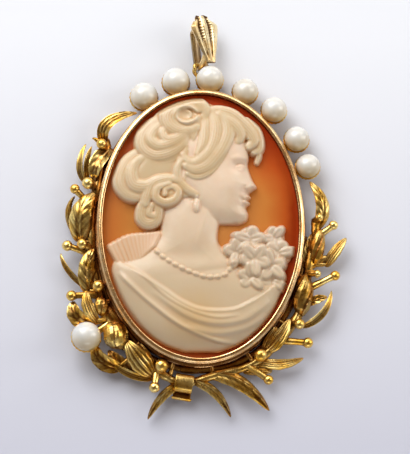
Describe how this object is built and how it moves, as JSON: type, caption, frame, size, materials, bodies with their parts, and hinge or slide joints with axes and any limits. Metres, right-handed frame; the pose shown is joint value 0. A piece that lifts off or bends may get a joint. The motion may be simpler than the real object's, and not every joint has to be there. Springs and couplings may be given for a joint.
{
  "type": "cameo pendant",
  "caption": "Oval shell cameo with a raised profile bust in a gold bezel, leaf sprays with buds and balls, round pearls and a swinging fan bail.",
  "frame": {"origin": "centre of the shell's oval, in the plane of the bezel's back rim", "axes": "+Z out of the carved face, +Y up the oval towards the bail, +X to the right seen from the front"},
  "size_m": [0.0438, 0.0624, 0.0069],
  "materials": {
    "gold": "polished yellow gold with darker recesses",
    "shell_ground": "polished orange shell, red brown at the edge",
    "shell_relief": "satin cream shell",
    "pearl": "white nacre with a soft lustre"
  },
  "bodies": {
    "pendant": {"frame": "gold", "cameo_ground": "shell_ground", "cameo_relief": "shell_relief", "pearl_1": "pearl", "pearl_2": "pearl", "pearl_3": "pearl", "pearl_4": "pearl", "pearl_5": "pearl", "pearl_6": "pearl", "pearl_7": "pearl", "pearl_8": "pearl"},
    "bail": {"bail": "gold"}
  },
  "joints": [
    {"name": "bail_swing", "type": "hinge", "parent": "pendant", "child": "bail", "pos_m": [0.00008, 0.02569, 0.00117], "axis": [0.8529, 0.1504, -0.5], "range_deg": [-110, 5]}
  ]
}
